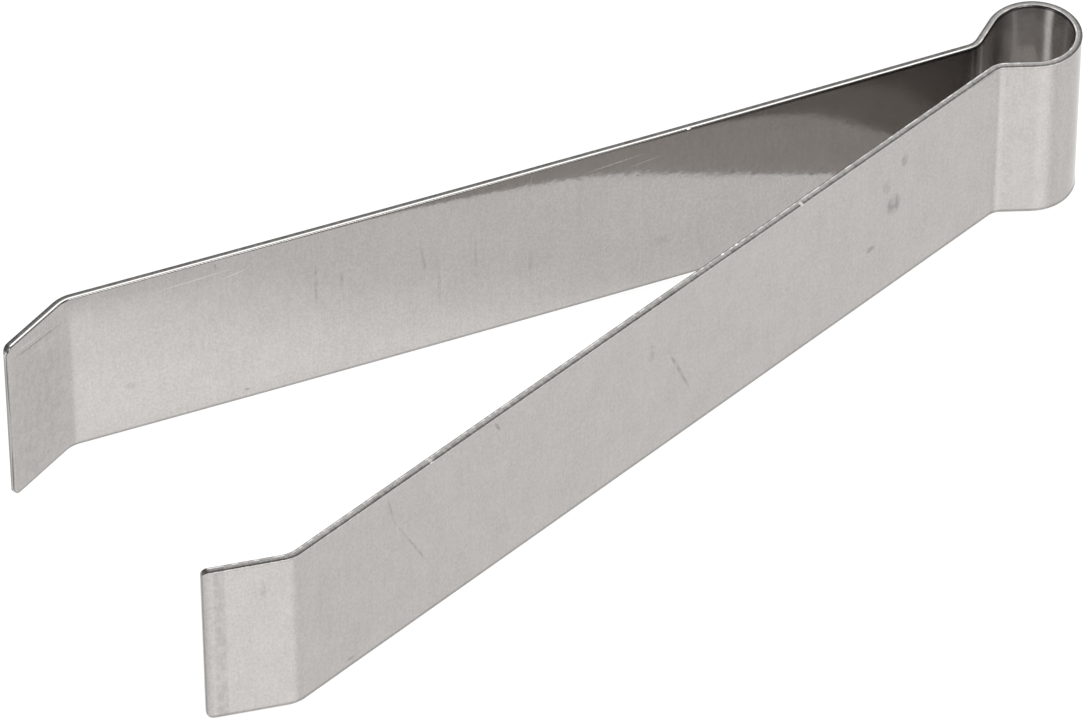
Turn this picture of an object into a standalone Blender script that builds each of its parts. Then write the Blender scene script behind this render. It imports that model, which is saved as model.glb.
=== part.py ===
"""Stamp tongs: one strip of spring stainless steel, standing on its edge.

The strip is bent round a keyhole-shaped spring loop. Two straight arms open out from the loop's necks,
and their last few millimetres turn inwards as flat jaws. The arms swing about the necks as they close.

Frame: +X from the jaws towards the loop, +Y towards the right arm, +Z across the strip's width.
The origin is at the bottom centre of the tongs' box. Lengths are in metres.
"""

import math

import bmesh
import bpy
from mathutils import Vector

# The strip
STRIP_WIDTH = 0.0200
STRIP_THICKNESS = 0.0008

# One half in plan, along the middle of the strip's thickness, from the crown to the jaw's end
CROWN_RADIUS = 0.00445
CROWN_OVERTURN = math.radians(31.0)  # how far each side of the crown runs on past its quarter circle
FLANK_LENGTH = 0.00315
NECK_RADIUS = 0.0022
ARM_SPREAD = math.radians(11.35)  # between an arm and the centre plane
ARM_LENGTH = 0.0957
JAW_BEND_RADIUS = 0.0033
JAW_TURN = math.radians(31.0)  # how far a jaw turns in from its arm
JAW_LENGTH = 0.0079
JAW_CORNER_RADIUS = 0.0010

# Between neighbouring lengths of the strip
SPLIT_GAP = 0.0003

# Facets
ARC_STEP = math.radians(5.0)
CORNER_SEGMENTS = 5

SIDES = {"left": -1, "right": 1}

for old in list(bpy.data.objects):
    bpy.data.objects.remove(old)


def heading_vector(heading):
    return Vector((math.cos(heading), math.sin(heading), 0.0))


def outward(heading):
    """The unit vector square to the right half's mid-line that points out of the tongs."""
    return heading_vector(heading - math.pi / 2)


class Midline:
    """A run of the mid-line in plan: points that follow straight lengths and arcs."""

    def __init__(self, start, heading):
        self.points = [start.copy()]
        self.heading = heading

    def straight(self, length):
        self.points.append(self.points[-1] + length * heading_vector(self.heading))
        return self

    def arc(self, radius, turn):
        """Turns to the left by turn, or to the right where turn is negative."""
        side = math.copysign(1.0, turn)
        centre = self.points[-1] - side * radius * outward(self.heading)
        steps = math.ceil(abs(turn) / ARC_STEP)
        for step in range(1, steps + 1):
            heading = self.heading + turn * step / steps
            self.points.append(centre + side * radius * outward(heading))
        self.heading += turn
        return self


def steel(name, colour, roughness):
    material = bpy.data.materials.new(name)
    material.use_nodes = True
    shader = material.node_tree.nodes["Principled BSDF"]
    shader.inputs["Base Color"].default_value = (*colour, 1.0)
    shader.inputs["Roughness"].default_value = roughness
    shader.inputs["Metallic"].default_value = 1.0
    return material


def strip_length(name, midline, material, pivot=None, corner_radius=0.0):
    """One length of the strip: the mid-line drawn up over the strip's width, then thickened.

    A corner_radius rounds the two corners at the mid-line's last point.
    """
    origin = pivot.location if pivot else Vector()
    sheet = bmesh.new()
    foot = [sheet.verts.new(point - origin) for point in midline]
    edges = [sheet.edges.new(pair) for pair in zip(foot, foot[1:])]
    drawn = bmesh.ops.extrude_edge_only(sheet, edges=edges)["geom"]
    head = [item for item in drawn if isinstance(item, bmesh.types.BMVert)]
    bmesh.ops.translate(sheet, verts=head, vec=(0.0, 0.0, STRIP_WIDTH))
    if corner_radius:
        end = midline[-1] - origin
        corners = [vert for vert in sheet.verts if (vert.co.xy - end.xy).length < SPLIT_GAP]
        bmesh.ops.bevel(
            sheet,
            geom=corners,
            offset=corner_radius,
            offset_type="OFFSET",
            affect="VERTICES",
            segments=CORNER_SEGMENTS,
            profile=0.5,
        )
    mesh = bpy.data.meshes.new(name)
    sheet.to_mesh(mesh)
    sheet.free()
    mesh.materials.append(material)
    mesh.shade_smooth()

    piece = bpy.data.objects.new(name, mesh)
    bpy.context.scene.collection.objects.link(piece)
    piece.parent = pivot
    gauge = piece.modifiers.new("Gauge", "SOLIDIFY")
    gauge.thickness = STRIP_THICKNESS
    gauge.offset = 0.0
    gauge.use_even_offset = True
    gauge.use_rim = True
    return piece


def mirrored(points, side):
    return [Vector((point.x, side * point.y, point.z)) for point in points]


# The right half's mid-line, first with the crown's centre at the origin
quarter_and_over = math.pi / 2 + CROWN_OVERTURN
crown = Midline(Vector((CROWN_RADIUS, 0.0, 0.0)), math.pi / 2)
crown.arc(CROWN_RADIUS, quarter_and_over).straight(FLANK_LENGTH)
crown.arc(NECK_RADIUS, -(CROWN_OVERTURN + ARM_SPREAD))
neck_end = crown.points[-1]
arm_heading = crown.heading
arm_way = heading_vector(arm_heading)

arm = Midline(neck_end + SPLIT_GAP * arm_way, arm_heading)
arm.straight(ARM_LENGTH - 2 * SPLIT_GAP)

jaw = Midline(neck_end + ARM_LENGTH * arm_way, arm_heading)
jaw.arc(JAW_BEND_RADIUS, JAW_TURN).straight(JAW_LENGTH)

# The box in plan, to set the origin at its centre
jaw_tip = jaw.points[-1] + STRIP_THICKNESS / 2 * outward(jaw.heading)
crown_top = CROWN_RADIUS + STRIP_THICKNESS / 2
to_origin = Vector((-(jaw_tip.x + crown_top) / 2, 0.0, 0.0))

crown_half, arm_line, jaw_line = ([point + to_origin for point in run.points] for run in (crown, arm, jaw))
hinge = neck_end + to_origin + SPLIT_GAP / 2 * arm_way

# The loop, from the left neck round the crown to the right neck
loop_line = mirrored(crown_half, -1)[:0:-1] + crown_half
strip_length("spring_loop", loop_line, steel("loop steel", (0.50, 0.48, 0.46), 0.22))

# Each arm with its jaw, on an empty that stands on the neck's hinge axis
for side_name, side in SIDES.items():
    pivot = bpy.data.objects.new(f"{side_name}_neck_hinge", None)
    pivot.location = mirrored([hinge], side)[0]
    bpy.context.scene.collection.objects.link(pivot)

    arm_steel = steel(f"{side_name} arm steel", (0.50, 0.48, 0.46), 0.26)
    strip_length(f"{side_name}_arm", mirrored(arm_line, side), arm_steel, pivot)

    jaw_steel = steel(f"{side_name} jaw steel", (0.58, 0.56, 0.53), 0.26)
    strip_length(f"{side_name}_jaw", mirrored(jaw_line, side), jaw_steel, pivot, JAW_CORNER_RADIUS)
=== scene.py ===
"""Stamp tongs: one bent strip of brushed stainless spring steel."""

import math

import bmesh
import bpy
from mathutils import Matrix, Vector, noise


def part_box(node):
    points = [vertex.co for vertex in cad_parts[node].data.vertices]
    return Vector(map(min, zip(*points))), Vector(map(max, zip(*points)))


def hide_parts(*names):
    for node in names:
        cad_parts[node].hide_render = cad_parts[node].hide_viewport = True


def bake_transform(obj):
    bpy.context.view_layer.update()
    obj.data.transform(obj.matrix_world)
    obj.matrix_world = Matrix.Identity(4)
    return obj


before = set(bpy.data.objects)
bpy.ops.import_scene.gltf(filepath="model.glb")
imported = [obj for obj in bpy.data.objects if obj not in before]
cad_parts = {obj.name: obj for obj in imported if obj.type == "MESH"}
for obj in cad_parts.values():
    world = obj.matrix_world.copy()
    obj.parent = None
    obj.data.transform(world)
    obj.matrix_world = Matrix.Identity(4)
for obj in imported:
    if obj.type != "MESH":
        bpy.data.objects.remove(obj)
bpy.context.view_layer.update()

# THE COURSE OF THE STRIP
# One strip of stainless spring steel is bent on edge over formers: a round crown, two flanks that
# draw together, a tight neck on each side, two long straight arms, and a jaw turned in at each end.
# Each half is followed from the crown's centre plane to the jaw's end, halfway through the metal.

loop_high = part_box("spring_loop")[1]
width = loop_high.z
thickness = 0.0008
crown_radius = loop_high.y - thickness / 2
crown_centre = Vector((loop_high.x - thickness / 2 - crown_radius, 0.0, 0.0))
crown_overturn = math.radians(31.0)
flank_length = 0.00315
neck_radius = 0.0022
arm_spread = math.radians(11.35)
arm_length = 0.0957
arm_bow = {"left": 0.0, "right": math.radians(1.2)}
jaw_bend_radius = 0.0033
jaw_turn = math.radians(31.0)
jaw_length = 0.0079

bend_step = math.radians(3.0)
straight_step = 0.00025
end_zone = 0.0016
end_stations = 14


def outward(heading):
    """The way out of the tongs, square to the right half's course."""
    return Vector((math.sin(heading), -math.cos(heading), 0.0))


def course_of_half(bow):
    """Stations of the right half: (place, way out, distance from the crown)."""
    place = crown_centre + Vector((crown_radius, 0.0, 0.0))
    heading = math.pi / 2
    run = 0.0
    course = [(place, outward(heading), run)]

    def advance(length, turn, distances):
        """Goes on over length while turning evenly, with a station at each of the distances."""
        nonlocal place, heading, run
        start, first_heading, first_run = place, heading, run
        curvature = turn / length
        for distance in distances:
            heading = first_heading + curvature * distance
            chord = distance
            if turn:
                chord = 2.0 / curvature * math.sin(curvature * distance / 2)
            middle = first_heading + curvature * distance / 2
            place = start + Vector((math.cos(middle), math.sin(middle), 0.0)) * chord
            run = first_run + distance
            course.append((place, outward(heading), run))

    def evenly(length, count):
        return [length * (step + 1) / count for step in range(count)]

    def bend(radius, turn):
        length = radius * abs(turn)
        advance(length, turn, evenly(length, math.ceil(abs(turn) / bend_step)))

    def straight(length, turn=0.0):
        advance(length, turn, evenly(length, math.ceil(length / straight_step)))

    bend(crown_radius, math.pi / 2 + crown_overturn)
    straight(flank_length)
    bend(neck_radius, -(crown_overturn + arm_spread - bow / 2))
    straight(arm_length, -bow)
    bend(jaw_bend_radius, jaw_turn + bow / 2)
    straight(jaw_length - end_zone)
    quarter_turns = [math.pi / 2 * (step + 1) / end_stations for step in range(end_stations)]
    advance(end_zone, 0.0, [end_zone * math.sin(angle) for angle in quarter_turns])
    return course


# THE SLIT EDGES AND THE CROPPED END
# Slitting rolls the inner face gently over, cuts a burnished band, and tears the rest of the thickness,
# down to a ragged burr that stands a hair proud of the outer face. The jaw's end is cropped across,
# which draws the outer face down, and its corners are dubbed off so that they can't tear a stamp.

face_roll = 0.00008
face_roll_reach = 0.0031
arris_radius = 0.00014
arris_points = 5
burnished_share = 0.17
torn_slopes = (math.radians(4.0), math.radians(9.0))
torn_points = 5
burr_radius = 0.00005
burr_points = 3
burr_lip = 0.00006
burr_lip_reach = 0.00035
burr_lip_points = 3
burr_height = {"left": 0.000014, "right": 0.000008}
burr_wave = 0.0010
burr_tooth = 0.00045
burr_tooth_share = 0.8

corner_radius = 0.00075
crop_draw = 0.00020
crop_reach = 0.0012
across_points = 18

on_face, burnished, torn_starts, torn_ends = 0.0, 1.0, 2.0, 3.0
burnished_corner = 1.3


def quarter(radius, distance):
    """How far a quarter round of this radius has fallen away, at this distance from its end."""
    if distance >= radius:
        return 0.0
    return radius - math.sqrt(radius * radius - (radius - distance) ** 2)


def rolled_face(edge_distance):
    """How far the inner face has rolled over, at this distance from the strip's edge."""
    return face_roll * max(0.0, 1.0 - edge_distance / face_roll_reach) ** 3


def edge_profile(outer, inner):
    """One slit edge, from the inner face to the outer: (offset out, drop below the edge, band).

    The band rises over the arris from a face's value to the burnished one, runs from where the torn part
    starts to where it ends, and falls back to a face's value round the burr.
    """
    profile = []
    for step in range(1, arris_points + 1):
        angle = math.pi / 2 * step / arris_points
        offset = inner + arris_radius * (1 - math.cos(angle))
        drop = arris_radius * (1 - math.sin(angle))
        profile.append((offset, drop, burnished * step / arris_points))
    offset = inner + arris_radius + (outer - inner) * burnished_share
    profile.append((offset - burr_radius, 0.0, burnished))
    profile.append((offset, 0.0, burnished_corner))
    drop = 0.0
    stride = (outer - burr_radius - offset) / torn_points
    for step in range(torn_points):
        slope = torn_slopes[0] + (torn_slopes[1] - torn_slopes[0]) * (step + 0.5) / torn_points
        offset += stride
        drop += stride * math.tan(slope)
        band = torn_starts + (torn_ends - torn_starts) * (step + 1) / torn_points
        profile.append((offset, drop, band))
    for step in range(1, burr_points + 1):
        angle = math.pi / 2 * step / burr_points
        round_offset = offset + burr_radius * math.sin(angle)
        round_drop = drop + burr_radius * (1 - math.cos(angle))
        profile.append((round_offset, round_drop, torn_ends * (1 - step / burr_points)))
    return profile


def section_at(to_end):
    """The strip's outline across the run: (offset out, height, band), round from the outer face's foot.

    Near the jaw's end the outline shrinks, which rounds the corners and draws the outer face down.
    """
    drawn = quarter(1.0, to_end / crop_reach)
    inset = quarter(corner_radius, to_end)
    reach = width - 2 * inset
    outer = thickness / 2 - crop_draw * drawn
    inner = -thickness / 2 + quarter(arris_radius, to_end)
    lip = burr_lip * (1.0 - drawn)
    edge = edge_profile(outer + lip, inner + face_roll)
    edge_drop = edge[-1][1]
    flat_foot = edge_drop + burr_lip_reach
    flat = reach - 2 * flat_foot
    shares = [(1 - math.cos(math.pi * step / across_points)) / 2 for step in range(across_points + 1)]
    lip_shares = [step / burr_lip_points for step in range(1, burr_lip_points)]

    outline = []
    for share in lip_shares:
        outline.append((outer + lip * (1 - share) ** 2, edge_drop + burr_lip_reach * share, on_face))
    for share in shares:
        outline.append((outer, flat_foot + flat * share, on_face))
    for share in reversed(lip_shares):
        rise = reach - edge_drop - burr_lip_reach * share
        outline.append((outer + lip * (1 - share) ** 2, rise, on_face))
    for offset, drop, band in reversed(edge):
        outline.append((offset, reach - drop, band))
    for share in reversed(shares):
        rise = arris_radius + (reach - 2 * arris_radius) * share
        rolled = rolled_face(min(rise, reach - rise) - arris_radius)
        outline.append((inner + rolled, rise, on_face))
    outline += edge
    return [(offset, inset + rise, band) for offset, rise, band in outline]


def burr(run, height, seed):
    """How far the torn edge stands up or is notched down at this distance along the strip."""
    swell = noise.noise(Vector((run / burr_wave, seed, 0.0)))
    tooth = noise.noise(Vector((run / burr_tooth, seed, 5.0)))
    return height * (swell + burr_tooth_share * tooth)


# THE GROUND STEEL
# Bright rolled stainless, lightly ground across the strip, so a fine grain runs from edge to edge.
# Along the slit edges the burnished band is bright where nothing has rubbed it dull, and the torn band is
# flecked and darker towards the burr. Painted shade darkens the inner arris, more towards the neck, and
# the top of the inner face between the arms; a painted shade line runs along the foot and round the jaw's
# end, and a painted highlight line and painted glints sit under and in the top rim.


class Wire:
    """A shader socket that takes part in arithmetic: each operation adds its own Math node."""

    def __init__(self, tree, socket=None):
        self.tree = tree
        self.socket = socket

    def node(self, kind, settings, inputs, output=0):
        """Adds a node of this kind to the same tree. Settings are set before inputs are joined."""
        made = self.tree.nodes.new(kind)
        for name, value in settings.items():
            setattr(made, name, value)
        for name, value in inputs.items():
            if isinstance(value, Wire):
                value.feed(made.inputs[name])
            else:
                made.inputs[name].default_value = value
        return Wire(self.tree, made.outputs[output])

    def feed(self, socket):
        self.tree.links.new(self.socket, socket)

    def math(self, operation, *values):
        return self.node("ShaderNodeMath", {"operation": operation}, dict(enumerate(values)))

    def __add__(self, other):
        return self.math("ADD", self, other)

    def __sub__(self, other):
        return self.math("SUBTRACT", self, other)

    def __rsub__(self, other):
        return self.math("SUBTRACT", other, self)

    def __mul__(self, other):
        return self.math("MULTIPLY", self, other)

    def __truediv__(self, other):
        return self.math("DIVIDE", self, other)

    __radd__ = __add__
    __rmul__ = __mul__

    def between(self, low, high):
        """0 below low and 1 above high, eased in between."""
        return self.node(
            "ShaderNodeMapRange",
            {"interpolation_type": "SMOOTHSTEP"},
            {"Value": self, "From Min": low, "From Max": high},
        )

    def within(self, low, full_from, full_to, high):
        """1 from full_from to full_to, eased away to 0 at low and at high."""
        return self.between(low, full_from) * (1.0 - self.between(full_to, high))

    def mixed(self, plain, marked):
        """The colour that goes from plain to marked as this value goes from 0 to 1."""
        plain, marked = (end if isinstance(end, Wire) else (*end, 1.0) for end in (plain, marked))
        return self.node("ShaderNodeMix", {"data_type": "RGBA"}, {0: self, 6: plain, 7: marked}, output=2)

    def scaled(self, factor):
        """This colour, lighter or darker by factor."""
        return self.node("ShaderNodeVectorMath", {"operation": "SCALE"}, {0: self, "Scale": factor})


steel_colour = (0.452, 0.431, 0.415)
steel_roughness = 0.13
steel_anisotropy = 0.9
steel_haze = 0.02
loop_haze = 0.16
stain_colour = (0.31, 0.305, 0.298)
stain_roughness = 0.15
scratch_colour = (0.68, 0.66, 0.64)
scratch_roughness = 0.2
# How strongly the painted shade line at the foot and round the jaw's end shows
shade_line_strength = 0.6
# Painted glint at the nicks in the top rim
glint_colour = (0.88, 0.87, 0.85)

# The burnished band, and also the painted highlight line under the burr
burnished_and_highlight_colour = (0.66, 0.645, 0.63)
burnished_roughness = 0.12
# The burnished band where it is rubbed dull, and also the painted shade line at the foot and the jaw's end
dull_and_shade_colour = (0.22, 0.215, 0.21)
torn_colour = (0.29, 0.28, 0.27)
# The torn band's darker colour towards the burr
darker_torn_colour = (0.140, 0.136, 0.132)
torn_roughness = 0.30
torn_haze = 0.10
fleck_least = 0.1
speckle_in_flecks = 1.1
blotch_in_flecks = 0.7
# Painted shade in the inner arris
arris_shade_colour = (0.16, 0.157, 0.15)
# The darkest painted shade, in the arris towards the neck and along the inner face's top
painted_shade_colour = (0.03, 0.028, 0.026)
# How strongly the painted shade along the inner face's top shows
inner_top_shade_strength = 0.75

# The noise in the steel: how long it is along and across the strip, and how much it shows
noises = {
    "grain": {"along": 0.00014, "across": 0.0026, "detail": 3.0, "tone": 0.14, "relief": 0.5},
    "broad grain": {"along": 0.0008, "across": 0.010, "detail": 3.0, "tone": 0.07, "relief": 0.3},
    "speckle": {"along": 0.00024, "across": 0.00034, "detail": 2.0, "tone": 0.36, "relief": 0.2},
    "mottle": {"along": 0.0030, "across": 0.0036, "detail": 2.0, "tone": 0.12, "relief": 5.0},
    "blotch": {"along": 0.0007, "across": 0.0011, "detail": 2.0, "tone": 0.0, "relief": 4.0},
}
noise_between_faces = 3.7
noise_roughness = 0.55
noise_middle = 0.5
grain_roughness = 0.06
relief_strength = 0.10
relief_depth = 0.00002

# What shows through the blotches: its least and most strength, and the blotch values for them
rubbed_patches = (0.19, 0.47, 0.40, 0.62)
stain_patches = (0.45, 1.45, 0.35, 0.62)
dulled_patches = (0.6, 1.0, 0.36, 0.56)
burr_highlight_patches = (0.35, 1.0, 0.48, 0.64)

# Distances from the jaw's end over which each thing comes in
rubbed_stripe = (0.0009, 0.0013, 0.0020, 0.0024)
end_shade_line = (0.00004, 0.00024)
darkening_start = (0.0003, 0.0010)
arris_deep_shade_start = (0.030, 0.090)
inner_top_shade_start = (0.060, 0.095)
crown_start = (0.104, 0.107)
inside_loop = (0.1110, 0.1135)

# Heights over which each thing by the foot or the top edge comes in
foot_shade_line = (0.00026, 0.00044)
shade_under_arris = (width - 0.00038, width - 0.00025)
burr_highlight_line = (width - 0.00028, width - 0.00020)
glint_rim_heights = (width - 0.00020, width - 0.00012)
glint_reach = 0.00022
glint_softness = 0.8
glint_least = 0.3
mark_softness = 0.9

# Band values over which each part of a slit edge comes in
over_arris = (0.05, 0.25, 0.7, 0.9)
off_face = (0.0, 0.1)
off_outer_face = (0.0, 0.6)
over_burnished = (0.2, 0.8)
over_torn = (1.1, 1.7)
over_darker_torn = (1.9, 2.25)

# How far the burnished band is rubbed dull, from 0 to 1, and what that does beside it
edge_wear = {"left": 1.0, "right": 0.10}
crown_wear = 0.9
# How much rubbing the rim dull lightens the painted shade in the arris
arris_shade_eased = 0.25
darkening_held_back = 0.55

outer_face, inner_face = 1.0, -1.0


def ground_steel(name, stains, scratches, nick_glint_spots, rim_wear):
    """The strip's steel, with this half's own stains and scratches, painted glints where its rim is
    notched, its worn slit edges, and painted shade and highlight lines by the rims and the foot.
    """
    material = bpy.data.materials.new(name)
    material.use_nodes = True
    shader = material.node_tree.nodes["Principled BSDF"]
    bare = Wire(material.node_tree)
    place = bare.node("ShaderNodeAttribute", {"attribute_name": "strip_place"}, {}, output="Vector")
    band = bare.node("ShaderNodeAttribute", {"attribute_name": "edge_band"}, {}, output="Fac")
    from_end, height, face = (
        bare.node("ShaderNodeSeparateXYZ", {}, {"Vector": place}, output=axis) for axis in ("X", "Y", "Z")
    )

    def pattern(along, across, detail):
        """Noise with features this long along and across the strip, in metres."""
        stretch = (1.0 / along, 1.0 / across, noise_between_faces)
        stretched = bare.node("ShaderNodeVectorMath", {"operation": "MULTIPLY"}, {0: place, 1: stretch})
        return bare.node(
            "ShaderNodeTexNoise",
            {"noise_dimensions": "3D"},
            {"Vector": stretched, "Scale": 1.0, "Detail": detail, "Roughness": noise_roughness},
        )

    def on_side(side, full=0.5):
        """1 on the face of this side, 0 on the other."""
        return (face * side).between(0.0, full)

    def mark(spot):
        """1 in the middle of a mark and 0 at its rim, on the face that it is on."""
        turn = math.radians(spot["turn"])
        run = from_end - spot["from_end"]
        rise = height - spot["height"]
        along = (run * math.cos(turn) + rise * math.sin(turn)) / (spot["length"] / 2)
        across = (rise * math.cos(turn) - run * math.sin(turn)) / (spot["breadth"] / 2)
        shape = (1.0 - (along * along + across * across)).between(0.0, mark_softness)
        return shape * on_side(spot["face"]) * spot["strength"]

    def nick_glint(side, spot):
        """A painted glint where the rim is notched, on this side of it."""
        along = (from_end - spot) / glint_reach
        glint = (1.0 - along * along).between(0.0, glint_softness) * height.between(*glint_rim_heights)
        return glint * on_side(side, full=0.6) * (glint_least + speckle)

    def patchy(least, most, low, high):
        """From least to most strength, blotch by blotch."""
        return least + blotch.between(low, high) * (most - least)

    patterns = {}
    for kind, sizes in noises.items():
        patterns[kind] = pattern(sizes["along"], sizes["across"], sizes["detail"])
    grain, speckle, blotch = patterns["grain"], patterns["speckle"], patterns["blotch"]
    on_outer_face = on_side(outer_face)
    on_inner_face = 1.0 - face.between(-0.9, 0.0)

    # The faces: stains and scratches, and a painted shade line at the foot and round the jaw's end
    stain = from_end.within(*rubbed_stripe) * on_outer_face * patchy(*rubbed_patches)
    stain = stain + sum(mark(spot) for spot in stains) * patchy(*stain_patches)
    scratch = sum(mark(spot) for spot in scratches)
    # Painted shade: a dark line along the foot, and round the jaw's end on the outer face
    shade_line = (1.0 - from_end.between(*end_shade_line)) * on_outer_face
    shade_line = 1.0 - height.between(*foot_shade_line) * (1.0 - shade_line)
    tone = 1.0 + sum((patterns[kind] - noise_middle) * sizes["tone"] for kind, sizes in noises.items())
    colour = stain.mixed(steel_colour, stain_colour)
    colour = scratch.mixed(colour, scratch_colour)
    colour = (shade_line * shade_line_strength).mixed(colour, dull_and_shade_colour)
    colour = colour.scaled(tone)

    # The burnished band, and how far it is rubbed dull
    on_burnished = band.between(*over_burnished)
    dulling = from_end.between(*crown_start) * (crown_wear - rim_wear) + rim_wear
    dulled = on_burnished * patchy(*dulled_patches) * dulling
    colour = on_burnished.mixed(colour, burnished_and_highlight_colour)
    colour = dulled.mixed(colour, dull_and_shade_colour)

    # The torn band, flecked, and darker towards the burr
    on_torn = band.between(*over_torn)
    darker_towards_burr = (band - dulling * darkening_held_back).between(*over_darker_torn) * from_end.between(*darkening_start)
    flecks = fleck_least + speckle * speckle_in_flecks + blotch * blotch_in_flecks
    flecked = darker_towards_burr.mixed(torn_colour, darker_torn_colour).scaled(flecks)
    colour = on_torn.mixed(colour, flecked)

    # Painted shade in the inner arris, deeper towards the neck, and along the inner face's top under it;
    # a painted highlight line under the burr, and painted glints at the nicks
    arris_shade = band.within(*over_arris) * on_inner_face * (1.0 - dulling * arris_shade_eased)
    # Deeper painted shade in the arris towards the neck
    arris_deep_shade = arris_shade * from_end.between(*arris_deep_shade_start)
    # Painted shade along the inner face's top, under the arris, between the arms towards the neck
    inner_top_shade = height.between(*shade_under_arris) * (1.0 - band.between(*off_face)) * on_inner_face
    inner_top_shade = inner_top_shade * from_end.between(*inner_top_shade_start)
    # Painted highlight: a patchy bright line on the outer face just under the burr
    burr_highlight = height.between(*burr_highlight_line) * (1.0 - band.between(*off_outer_face)) * on_outer_face
    burr_highlight = burr_highlight * patchy(*burr_highlight_patches)
    # Painted glints: bright spots at the nicks in the top rim
    nick_glints = sum(nick_glint(side, spot) for side, spot in nick_glint_spots)
    colour = arris_shade.mixed(colour, arris_shade_colour)
    colour = arris_deep_shade.mixed(colour, painted_shade_colour)
    colour = (inner_top_shade * inner_top_shade_strength).mixed(colour, painted_shade_colour)
    colour = burr_highlight.mixed(colour, burnished_and_highlight_colour)
    colour = nick_glints.mixed(colour, glint_colour)
    colour.feed(shader.inputs["Base Color"])

    roughness = steel_roughness + (grain - noise_middle) * grain_roughness
    roughness = roughness + stain * stain_roughness + (scratch + nick_glints) * scratch_roughness
    roughness = roughness + on_burnished * (burnished_roughness - steel_roughness)
    roughness = roughness + on_torn * (torn_roughness - burnished_roughness)
    roughness.feed(shader.inputs["Roughness"])

    in_loop = from_end.between(*inside_loop) * on_inner_face
    metal = (1.0 - steel_haze) - on_torn * torn_haze - in_loop * loop_haze
    metal.feed(shader.inputs["Metallic"])

    relief = sum(patterns[kind] * sizes["relief"] for kind, sizes in noises.items())
    bump_sizes = {"Height": relief, "Strength": relief_strength, "Distance": relief_depth}
    bare.node("ShaderNodeBump", {}, bump_sizes).feed(shader.inputs["Normal"])
    shader.inputs["Anisotropic"].default_value = steel_anisotropy
    return material


# THE MARKS OF USE
# Use has left soft stains and short scratches, on the left half's outer face and on the right half's
# inner face, and a few nicks in the top rim, which are shown by painted glints. Their places and sizes are
# in metres, their turn in degrees.


def wear(face, from_end, height, length, breadth, strength, turn=0.0):
    """A mark's place on the strip: from the jaw's end and from the foot, in metres, and its size."""
    return {
        "face": face,
        "from_end": from_end,
        "height": height,
        "length": length,
        "breadth": breadth,
        "strength": strength,
        "turn": turn,
    }


stains = {
    "left": [
        wear(outer_face, 0.0911, 0.0110, 0.0024, 0.0034, 0.75),
        wear(outer_face, 0.0901, 0.0142, 0.0018, 0.0026, 0.42),
        wear(outer_face, 0.0926, 0.0162, 0.0012, 0.0024, 0.55),
        wear(outer_face, 0.0879, 0.0070, 0.0015, 0.0010, 0.65),
        wear(outer_face, 0.0569, 0.0139, 0.0014, 0.0030, 0.42),
        wear(outer_face, 0.0215, 0.0172, 0.0046, 0.00038, 0.50, turn=102.0),
        wear(outer_face, 0.0245, 0.0102, 0.0125, 0.00038, 0.50, turn=117.0),
        wear(outer_face, 0.0607, 0.0090, 0.0090, 0.00050, 0.60, turn=113.0),
        wear(outer_face, 0.0358, 0.0185, 0.0018, 0.00045, 0.80, turn=118.0),
        wear(outer_face, 0.0059, 0.0164, 0.0008, 0.0034, 0.30),
        wear(outer_face, 0.0157, 0.0010, 0.0016, 0.0005, 0.60),
    ],
    "right": [
        wear(inner_face, 0.0349, 0.0129, 0.0005, 0.0072, 0.48),
        wear(inner_face, 0.0376, 0.0124, 0.0005, 0.0032, 0.40),
        wear(inner_face, 0.0479, 0.0084, 0.0005, 0.0058, 0.36),
        wear(inner_face, 0.0462, 0.0128, 0.0052, 0.00045, 0.42, turn=98.0),
        wear(inner_face, 0.0518, 0.0104, 0.0004, 0.0072, 0.30),
        wear(inner_face, 0.0577, 0.0080, 0.0007, 0.0040, 0.32),
        wear(inner_face, 0.0720, 0.0060, 0.0030, 0.0020, 0.22),
        wear(inner_face, 0.0040, 0.0090, 0.0130, 0.0320, 0.25),
        wear(inner_face, 0.0046, 0.0179, 0.0094, 0.00024, 0.85, turn=-6.0),
        wear(inner_face, 0.0245, 0.0190, 0.0003, 0.0012, 0.80),
        wear(inner_face, 0.0274, 0.0013, 0.0008, 0.0004, 0.60),
        wear(inner_face, 0.0152, 0.0062, 0.0014, 0.0012, 0.35),
    ],
}
scratches = {
    "left": [wear(outer_face, 0.0300, 0.0030, 0.0040, 0.00010, 0.25, turn=15.0)],
    "right": [
        wear(inner_face, 0.0224, 0.0181, 0.0094, 0.00016, 0.65, turn=2.5),
        wear(inner_face, 0.0266, 0.0175, 0.0030, 0.00016, 0.60, turn=11.0),
        wear(inner_face, 0.0030, 0.0187, 0.0052, 0.00016, 0.50, turn=-6.0),
        wear(inner_face, 0.0052, 0.0168, 0.0050, 0.00014, 0.35, turn=-8.0),
        wear(inner_face, 0.0670, 0.0182, 0.0072, 0.00018, 0.70, turn=4.0),
        wear(inner_face, 0.0700, 0.0173, 0.0048, 0.00014, 0.45, turn=6.0),
    ],
}

# Each painted glint's side of the rim at a nick, and its distance from the jaw's end
nick_glint_spots = {
    "left": [(outer_face, 0.0778), (inner_face, 0.0691), (inner_face, 0.0672), (outer_face, 0.0269)],
    "right": [(inner_face, 0.0747)],
}

# THE TWO HALVES
# The left and right halves are mirror images in one length of metal. They meet at the middle of the
# crown, where the surface runs through without a break, and each bends at its neck into its arm.

ripple_height = 0.000010
ripple_along = 0.009
ripple_across = 0.010
sharp_angle = math.radians(40.0)
centre_plane = 1e-9


def ripple(run, height, seed):
    """The slight waviness that rolling and bending leave in the faces."""
    return ripple_height * noise.noise(Vector((run / ripple_along, height / ripple_across, seed)))


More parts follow.
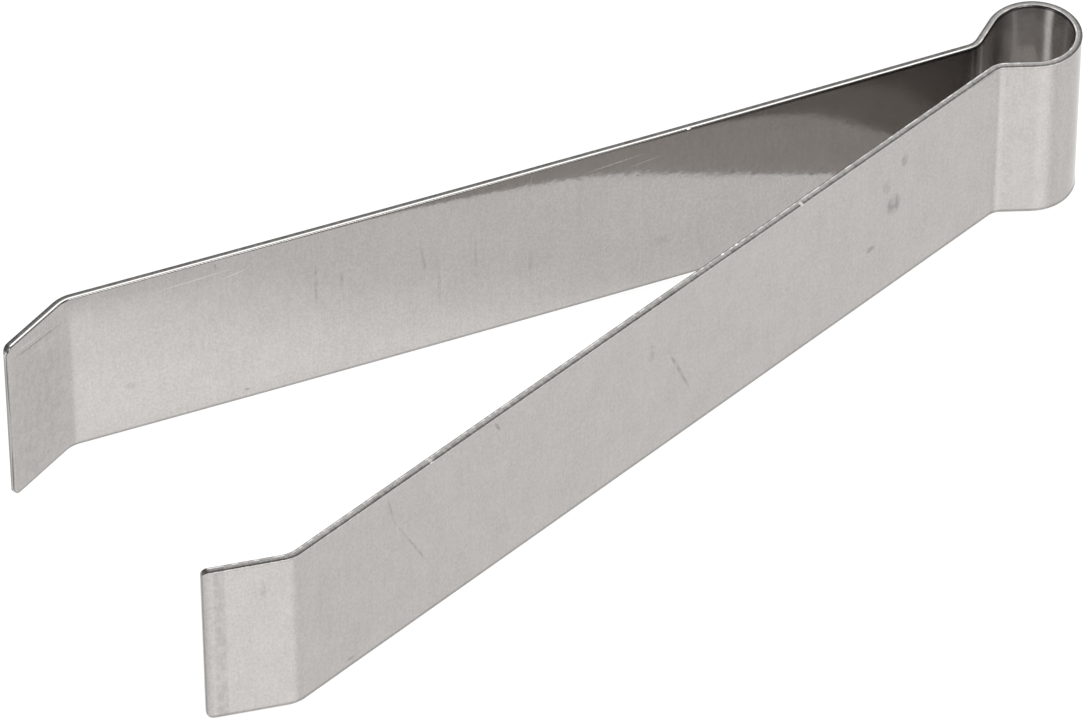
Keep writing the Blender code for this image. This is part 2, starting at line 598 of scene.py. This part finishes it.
def face_out_at_crown(mesh):
    """Turns the shading at the centre plane straight out along the crown's radius."""
    normals = [Vector()] * len(mesh.loops)
    for face in mesh.polygons:
        if abs(face.normal.y) > 0.9:
            continue
        for corner in face.loop_indices:
            spot = mesh.vertices[mesh.loops[corner].vertex_index].co
            if abs(spot.y) < centre_plane and spot.x > crown_centre.x:
                shading = mesh.corner_normals[corner].vector
                normals[corner] = Vector((shading.x, 0.0, shading.z)).normalized()
    mesh.normals_split_custom_set(normals)


def mesh_half(name, side, seed):
    """One half of the strip as a closed mesh, with the strip's own coordinates kept on it."""
    course = course_of_half(arm_bow[name])
    whole_run = course[-1][2]
    surface = bmesh.new()
    strip_place = surface.verts.layers.float_vector.new("strip_place")
    edge_band = surface.verts.layers.float.new("edge_band")
    rings = []
    for place, out, run in course:
        to_end = whole_run - run
        ring = []
        for offset, height, band in section_at(to_end):
            face = math.copysign(1.0, offset)
            offset += ripple(run, height, seed) * min(1.0, run / ripple_along)
            torn = min(1.0, max(0.0, band - burnished))
            height += burr(run, burr_height[name], seed) * torn * math.copysign(1.0, height - width / 2)
            spot = place + out * offset
            vert = surface.verts.new((spot.x, side * spot.y, max(0.0, height)))
            vert[strip_place] = Vector((to_end, height, face))
            vert[edge_band] = band
            ring.append(vert)
        rings.append(ring)
    for ring, following in zip(rings, rings[1:]):
        for index in range(len(ring)):
            after = (index + 1) % len(ring)
            surface.faces.new((ring[index], following[index], following[after], ring[after]))
    surface.faces.new(rings[0])
    surface.faces.new(reversed(rings[-1]))
    bmesh.ops.recalc_face_normals(surface, faces=surface.faces)
    mesh = bpy.data.meshes.new(name)
    surface.to_mesh(mesh)
    surface.free()
    mesh.shade_smooth()
    mesh.set_sharp_from_angle(angle=sharp_angle)
    face_out_at_crown(mesh)
    return mesh


for name, side, seed in (("left", -1.0, 3.0), ("right", 1.0, 17.0)):
    half = bpy.data.objects.new(f"{name}_half_strip", mesh_half(name, side, seed))
    bpy.context.scene.collection.objects.link(half)
    marks = (stains[name], scratches[name], nick_glint_spots[name])
    half.data.materials.append(ground_steel(f"{name} ground steel", *marks, edge_wear[name]))
    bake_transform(half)
    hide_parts("spring_loop", f"{name}_arm", f"{name}_jaw")

# THE TABLE
# The tongs stand on edge on a lit white table top, such as small bright objects are shown on.
# It lights the faces from below, and it throws no shadow round them.

table_size = 6.0
table_drop = 0.00005
table_colour = (0.05, 0.05, 0.05, 1.0)
table_roughness = 0.30
table_glow = 0.96
white = (1.0, 1.0, 1.0, 1.0)

table_mesh = bpy.data.meshes.new("table_top")
table_shape = bmesh.new()
bmesh.ops.create_grid(table_shape, x_segments=1, y_segments=1, size=table_size / 2)
table_shape.to_mesh(table_mesh)
table_shape.free()
table_top = bpy.data.objects.new("table_top", table_mesh)
table_top.location.z = -table_drop
bpy.context.scene.collection.objects.link(table_top)
table_material = bpy.data.materials.new("lit white table top")
table_material.use_nodes = True
table_shader = table_material.node_tree.nodes["Principled BSDF"]
table_shader.inputs["Base Color"].default_value = table_colour
table_shader.inputs["Roughness"].default_value = table_roughness
table_shader.inputs["Emission Color"].default_value = white
table_shader.inputs["Emission Strength"].default_value = table_glow
table_mesh.materials.append(table_material)

# THE LIGHTS
# A strong soft box stands in front, facing the left arm. A weaker one stands behind, where it shines
# back from the rims, and a small third one stands in front on the right. The room is a dim grey that
# shows white where it is seen directly.

room_grey = (0.215, 0.215, 0.215, 1.0)
light_distance = 0.9

room = bpy.data.worlds.new("dim studio")
room.use_nodes = True
room_light = room.node_tree.nodes["Background"]
room_light.inputs["Color"].default_value = room_grey
dim_room = Wire(room.node_tree, room_light.outputs["Background"])
white_room = dim_room.node("ShaderNodeBackground", {}, {"Color": white})
seen_directly = dim_room.node("ShaderNodeLightPath", {}, {}, output="Is Camera Ray")
both_rooms = dim_room.node("ShaderNodeMixShader", {}, {0: seen_directly, 1: dim_room, 2: white_room})
both_rooms.feed(room.node_tree.nodes["World Output"].inputs["Surface"])
bpy.context.scene.world = room


def soft_box(name, azimuth, elevation, size, radiance):
    """A square area light of even radiance that faces the tongs."""
    lamp = bpy.data.lights.new(name, "AREA")
    lamp.shape = "SQUARE"
    lamp.size = size
    lamp.energy = radiance * math.pi * size * size
    fitting = bpy.data.objects.new(name, lamp)
    turn = math.radians(azimuth)
    tilt = math.radians(elevation)
    away = Vector((math.cos(tilt) * math.cos(turn), math.cos(tilt) * math.sin(turn), math.sin(tilt)))
    fitting.location = away * light_distance
    fitting.rotation_euler = away.to_track_quat("Z", "Y").to_euler()
    fitting.visible_camera = False
    bpy.context.scene.collection.objects.link(fitting)


soft_box("front soft box", azimuth=-94.0, elevation=44.0, size=0.50, radiance=9.5)
soft_box("back soft box", azimuth=57.0, elevation=46.0, size=0.52, radiance=1.9)
soft_box("right soft box", azimuth=-38.0, elevation=34.0, size=0.30, radiance=3.0)

# THE CAMERA
# A long lens looks down over the left jaw along the tongs, with the loop at the top right.
# It is aimed by how far the middle of the crown lies to the right of its axis and above it.

view_azimuth = math.radians(-33.16)
view_elevation = math.radians(44.40)
view_roll = math.radians(-0.21)
view_distance = 0.936
crown_right_of_axis = 0.0494
crown_above_axis = 0.0257
lens_length = 307.3
sensor_width = 36.0

level_right = Vector((math.cos(view_azimuth), math.sin(view_azimuth), 0.0))
level_back = Vector((math.sin(view_azimuth), -math.cos(view_azimuth), 0.0))
back = level_back * math.cos(view_elevation) + Vector((0.0, 0.0, math.sin(view_elevation)))
level_up = back.cross(level_right)
right = level_right * math.cos(view_roll) + level_up * math.sin(view_roll)
up = back.cross(right)
crown_middle = crown_centre + Vector((0.0, 0.0, width / 2))
aim = crown_middle - right * crown_right_of_axis - up * crown_above_axis

camera_data = bpy.data.cameras.new("long lens")
camera_data.lens = lens_length
camera_data.sensor_width = sensor_width
camera_data.clip_start = 0.01
camera_data.clip_end = 20.0
camera = bpy.data.objects.new("long lens", camera_data)
turned = Matrix((right, up, back)).transposed().to_4x4()
camera.matrix_world = Matrix.Translation(aim + back * view_distance) @ turned
bpy.context.scene.collection.objects.link(camera)
bpy.context.scene.camera = camera
bpy.context.scene.view_settings.view_transform = "Standard"
